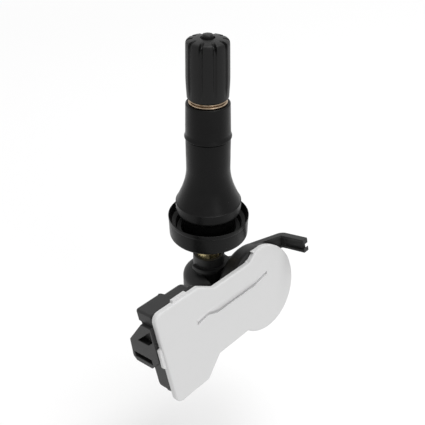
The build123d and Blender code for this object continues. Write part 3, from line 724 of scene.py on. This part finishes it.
def make_body():
    """The black rubber, moulded round the stem."""
    path = rounded([
        (tail_r, flange_low, 0),
        (under_groove[0], flange_low, 0.2),
        (under_groove[0] + under_groove_depth, flange_low + under_groove_depth, 0.1),
        (under_groove[1] - under_groove_depth, flange_low + under_groove_depth, 0.1),
        (under_groove[1], flange_low, 0.1),
        (flange_r - flange_draft, flange_low, 0.8),
        (flange_r - line_foot, line_levels[0], 0.03),
        (flange_r - line_depth, line_levels[1], 0.03),
        (flange_r - line_depth, line_levels[2], 0.03),
        (flange_r, line_levels[3], 0.05),
        (flange_r + lip_proud, 0, 0.1),
        (flange_r - lip_inset, 0, 0.06),
        (lip_slope_r, ledge_z, 0.15),
        (cup_r, ledge_z - ledge_fall, 0.1),
        (cup_r - cup_draft, cup_floor, 0.3),
        (neck_r, cup_floor, 0.4),
        (neck_r, neck_top, 0.5),
        (bulb_r - bulb_draft, bulb_low, 0.4),
        (bulb_r, bulb_high, 0.06),
        (bulb_r - crease_depth, bulb_high + crease_rise, 0.04),
        *flare(),
        (shank_r, undercut_levels[0], 0.04),
        (shank_r - undercut, undercut_levels[1], 0.04),
        (shank_r - undercut, undercut_levels[2], 0.04),
        (bead_r - bead_edge, undercut_levels[3], 0.06),
        (bead_r, bead_z, 0.15),
        (shank_r, bead_z + bead_tail, 0.3),
        (body_top_r, body_high.z, 0.35),
        (mouth_r, body_high.z, 0.1),
        (mouth_r - mouth_taper, mouth_floor, 0.05),
        (socket_r, mouth_floor, 0.05),
        (socket_r, socket_floor, 0),
        (stem_core + moulding_gap, socket_floor, 0),
        (stem_core + moulding_gap, anchor_levels[2], 0),
        (anchor_r + moulding_gap, anchor_levels[1], 0),
        (anchor_r + moulding_gap, anchor_levels[0], 0),
        (tail_r + moulding_gap, anchor_levels[0], 0),
        (tail_r, flange_low, 0),
    ], segments=6)
    return dress("rubber_body", spun(path, body_steps), "valve_body", "sensor", smooth=45)


make_body()

# Housing and lid, in the lid's own directions: along the housing, up the lid and out of it
lid_lean = radians(14.5)
lid_up = Vector((0, sin(lid_lean), cos(lid_lean)))
lid_out = Vector((0, -cos(lid_lean), sin(lid_lean)))
lid_face = 8.0
housing_low = sizes("sensor_housing")[0]
housing_round = 0.14
sharp_angle = 32
block_top = -11.4
block_right = -21.0
block_round = 0.55
block_angle = 60
slot_levels = (-25.75, -24.85)
slot_end = housing_low.x + 1.9
slot_widen = (-0.1, 0.4)
arm_inner = (-13.7, -16.0)
arm_end = 14.2
arm_web_end = 13.6
web_stretch = 0.4
arm_lip = 0.75
arm_lip_start = 14.0
groove_band = (-20.6, -18.9)
groove_ends = (-17.0, 9.0)
groove_widen = 0.65
groove_floor = 7.4
groove_raise = 0.06
groove_round = 0.12
wall_facing = 0.6
level_play = 0.03


def on_lid(v):
    """A corner's place along the housing, up the lid and out of it, in millimetres."""
    return v.co.x / MM, v.co.dot(lid_up) / MM, v.co.dot(lid_out) / MM


def near(value, level):
    """True where a size is at that level."""
    return abs(value - level) < level_play


def shift(bm, verts, direction, step):
    """Moves corners that way by millimetres."""
    bmesh.ops.translate(bm, vec=direction * step * MM, verts=verts)


def widen_slot(bm):
    """Opens the slot in the foot's end, downwards and upwards."""
    for level, step in zip(slot_levels, slot_widen):
        wall = []
        for v in bm.verts:
            along, high, _ = on_lid(v)
            if near(high, level) and along < slot_end + level_play:
                wall.append(v)
        shift(bm, wall, lid_up, step)


def shape_arm_tip(bm):
    """Turns a small lip inwards from each flange at the arm's tip, with the web up against them."""
    web_end = [v for v in bm.verts if near(on_lid(v)[2], arm_web_end)]
    shift(bm, web_end, lid_out, web_stretch)
    tip = [f for f in bm.faces if any(on_lid(v)[2] > arm_end for v in f.verts)]
    edges = list(dict.fromkeys(e for f in tip for e in f.edges))
    verts = list(dict.fromkeys(v for f in tip for v in f.verts))
    bmesh.ops.bisect_plane(
        bm,
        geom=[*verts, *edges, *tip],
        plane_co=lid_out * arm_lip_start * MM,
        plane_no=lid_out,
    )
    for level, way in zip(arm_inner, (-1, 1)):
        corners = [v for v in bm.verts if near(on_lid(v)[1], level) and on_lid(v)[2] > arm_end]
        shift(bm, corners, lid_up, way * arm_lip)


def round_block(bm):
    """Rounds the block's upper edge along its end and its back."""
    edge = []
    for e in bm.edges:
        places = [on_lid(v) for v in e.verts]
        if all(near(high, block_top) and along < block_right for along, high, _ in places):
            edge.append(e)
    soften_edges(bm, edge, block_round, block_angle, segments=4)


def make_housing():
    """The black moulding, with rounded edges, a wider slot in the foot and lips at the arm's tip."""
    bm = copied("sensor_housing")
    widen_slot(bm)
    shape_arm_tip(bm)
    round_block(bm)
    soften_edges(bm, bm.edges, housing_round, sharp_angle)
    return dress("moulded_housing", bm, "sensor_housing", "sensor", smooth=30)


def make_lid():
    """The white lid, with a wide, soft-edged groove under its ridge."""
    bm = copied("cover_lid")
    bm.normal_update()
    floor_corners = set()
    wall = set()
    for f in bm.faces:
        middle = f.calc_center_median() / MM
        in_band = groove_band[0] < middle.dot(lid_up) < groove_band[1]
        in_reach = groove_ends[0] < middle.x < groove_ends[1]
        if not in_band or not in_reach:
            continue
        depth = middle.dot(lid_out)
        if near(depth, groove_floor):
            floor_corners.update(f.verts)
        elif f.normal.dot(lid_up) > wall_facing and depth < lid_face - level_play:
            wall.update(f.verts)
    shift(bm, list(floor_corners), lid_out, groove_raise)
    shift(bm, list(wall), lid_up, -groove_widen)
    groove = [e for e in bm.edges if any(v in wall for v in e.verts)]
    soften_edges(bm, groove, groove_round, sharp_angle)
    return dress("moulded_lid", bm, "cover_lid", "sensor", smooth=30)


make_housing()
make_lid()

# Retaining screw with a star drive and a rolled thread
screw_low, screw_high = sizes("retaining_screw")
screw_head = 2.1
screw_seat = screw_low.z + screw_head
screw_steps = 96
screw_root = 1.65
screw_crest = 1.93
screw_neck_r = 1.95
screw_neck = 0.4
screw_thread_low = screw_seat + 0.5
screw_tip = (1.3, 0.4)
screw_runout = 0.2
drive_r = (1.15, 1.2, 1.4)
drive_depth = 1.3
drive_mouth = 0.15
drive_reach = (0.9, 1.45)
drive_play = 0.1
lobe_count = 6
lobe_swell = 0.16


def make_screw():
    """The steel screw that holds the stem's tail."""
    bm = thread(screw_root - thread_sink, screw_crest, screw_thread_low, screw_high.z - screw_runout)
    path = rounded([
        (0, screw_low.z + drive_depth, 0),
        (drive_r[0], screw_low.z + drive_depth, 0.05),
        (drive_r[1], screw_low.z + drive_mouth, 0.05),
        (drive_r[2], screw_low.z, 0.05),
        (screw_high.x, screw_low.z, 0.5),
        (screw_high.x, screw_seat, 0.12),
        (screw_neck_r, screw_seat, 0.15),
        (screw_neck_r, screw_seat + screw_neck, 0.1),
        (screw_root, screw_thread_low, 0.1),
        (screw_root, screw_high.z - screw_tip[1], 0.1),
        (screw_tip[0], screw_high.z, 0.1),
        (0, screw_high.z, 0),
    ], segments=4)
    spun(path, screw_steps, bm)
    for v in bm.verts:
        r = hypot(v.co.x, v.co.y) / MM
        in_drive = v.co.z / MM < screw_low.z + drive_depth + drive_play
        if in_drive and drive_reach[0] < r < drive_reach[1]:
            scale = 1 + lobe_swell * cos(lobe_count * atan2(v.co.y, v.co.x))
            v.co.x *= scale
            v.co.y *= scale
    return dress("star_screw", bm, "retaining_screw", "sensor", smooth=35)


make_screw()

# Core spring, as designed; the pin's travel is read, but the spring is not shortened
pin_joint = next(j for j in frame["record"]["behaviour"]["joints"] if j["name"] == "pin_press")
pin_travel = -pin_joint["range_m"][0]


def make_spring():
    """The steel spring, as designed."""
    low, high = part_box("core_spring")
    piece = dress("coil_spring", joined("core_spring"), "core_spring", "sensor", smooth=40)
    keep = 1 - pin_travel / (high.z - low.z)
    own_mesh(piece)
    return piece


make_spring()

# Floor: matt white well below the sensor, so that only a faint wide shadow shows
floor_z = -0.095
floor_half = 4.0
floor_level = 0.97
near_floor = 0.3
far_floor = 0.9


def seen_ray(sheet):
    """1 for what the camera sees straight, in a mirror or through glass."""
    kinds = ("Camera", "Glossy", "Transmission")
    rays = [sheet.add("ShaderNodeLightPath", out=f"Is {kind} Ray") for kind in kinds]
    return rays[0].largest(rays[1]).largest(rays[2])


def floor_white(name):
    """Matt white that keeps the shadow near the object and goes over into the white room far out."""
    f = Finish(name)
    reach = f.add("ShaderNodeVectorMath", {"operation": "LENGTH"}, {0: f.place}, out="Value")
    matt = f.add(
        "ShaderNodeBsdfPrincipled",
        {},
        {"Base Color": grey(floor_level), "Roughness": 1.0, "Specular IOR Level": 0.0},
    )
    white = f.add("ShaderNodeEmission", {}, {"Color": grey(1.0), "Strength": 1.0})
    share = f.step(reach, near_floor, far_floor) * seen_ray(f)
    surface = f.add("ShaderNodeMixShader", {}, {0: share, 1: matt, 2: white})
    f.add("ShaderNodeOutputMaterial", {}, {"Surface": surface})
    return f.material


def make_floor():
    """One flat square under the sensor."""
    bm = bmesh.new()
    bmesh.ops.create_grid(bm, x_segments=1, y_segments=1, size=floor_half)
    bmesh.ops.translate(bm, vec=(0, 0, floor_z), verts=bm.verts)
    mesh = bpy.data.meshes.new("floor")
    bm.to_mesh(mesh)
    bm.free()
    mesh.materials.append(floor_white("floor_white"))
    floor = bpy.data.objects.new("floor", mesh)
    bpy.context.scene.collection.objects.link(floor)


make_floor()

# Light: a soft even room, a large softbox overhead and a small one in front
fill_level = 0.42
world = bpy.data.worlds.new("studio")
bpy.context.scene.world = world
world.use_nodes = True
room = Sheet(world.node_tree)
backdrop = room.mix(seen_ray(room), grey(fill_level), grey(1.0))
glow = room.add("ShaderNodeBackground", {}, {"Color": backdrop, "Strength": 1.0})
room.add("ShaderNodeOutputWorld", {}, {"Surface": glow})


def softbox(name, at, size, power):
    """A round soft lamp that looks at the middle of the flange."""
    lamp = bpy.data.lights.new(name, "AREA")
    lamp.shape = "DISK"
    lamp.size = size
    lamp.energy = power
    box = bpy.data.objects.new(name, lamp)
    box.location = at
    box.rotation_euler = (Vector(CENTRE) - Vector(at)).to_track_quat("-Z", "Y").to_euler()
    bpy.context.scene.collection.objects.link(box)


softbox("top_light", at=(0.3, -0.52, 3.0), size=2.2, power=68.0)
softbox("front_light", at=(-0.25, -1.05, 0.5), size=0.5, power=1.6)

# Camera at the photograph's viewing angle
camera_place = (-0.08644, -0.08486, 0.0834)
camera_dip = 34.5
camera_turn = -46
camera = bpy.data.cameras.new("photo_camera")
camera.lens = 50
camera.sensor_width = 36
camera.clip_start = 0.005
camera_object = bpy.data.objects.new("photo_camera", camera)
camera_object.location = camera_place
camera_object.rotation_euler = (radians(90 - camera_dip), 0, radians(camera_turn))
bpy.context.scene.collection.objects.link(camera_object)
bpy.context.scene.camera = camera_object
bpy.context.scene.view_settings.view_transform = "Standard"
